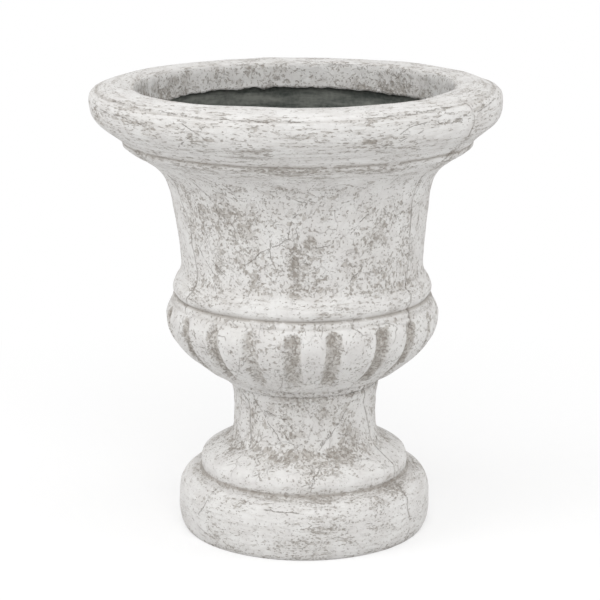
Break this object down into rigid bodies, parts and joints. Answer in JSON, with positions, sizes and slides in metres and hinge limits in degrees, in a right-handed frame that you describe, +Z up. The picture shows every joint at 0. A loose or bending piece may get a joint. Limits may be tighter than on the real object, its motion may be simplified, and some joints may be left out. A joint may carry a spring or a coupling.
{
  "type": "urn planter",
  "caption": "Round cast-stone planter urn with a rolled rim, flared bell, gadrooned bowl, short stem and stepped round foot, for plants indoors or outdoors.",
  "frame": {"origin": "centre of the round foot, on the floor", "axes": "+Z up along the urn's axis; -Y is the side that the picture shows"},
  "size_m": [0.5156, 0.5156, 0.5775],
  "materials": {
    "whitewashed_cast_stone": "matte",
    "dark_fibre_cement": "matte",
    "lime_mortar": "matte",
    "steel_bar": "matte",
    "zinc_plated_steel": "satin",
    "black_rubber": "matte",
    "grey_pvc": "satin"
  },
  "bodies": {
    "root": {"rim_facing": "whitewashed_cast_stone", "bell_facing": "whitewashed_cast_stone", "belly_facing": "whitewashed_cast_stone", "pedestal_facing": "whitewashed_cast_stone", "bowl_backing": "dark_fibre_cement", "pedestal_backing": "dark_fibre_cement", "rim_fill": "dark_fibre_cement", "bowl_floor": "dark_fibre_cement", "pedestal_cap": "dark_fibre_cement", "bedding_joint": "lime_mortar", "rim_hoop": "steel_bar", "base_hoop": "steel_bar", "tie_bolt": "zinc_plated_steel", "upper_washer": "zinc_plated_steel", "lower_washer": "zinc_plated_steel", "spring_washer": "zinc_plated_steel", "tie_nut": "zinc_plated_steel", "seal_washer": "black_rubber", "drain_tubes": "grey_pvc"}
  },
  "joints": []
}
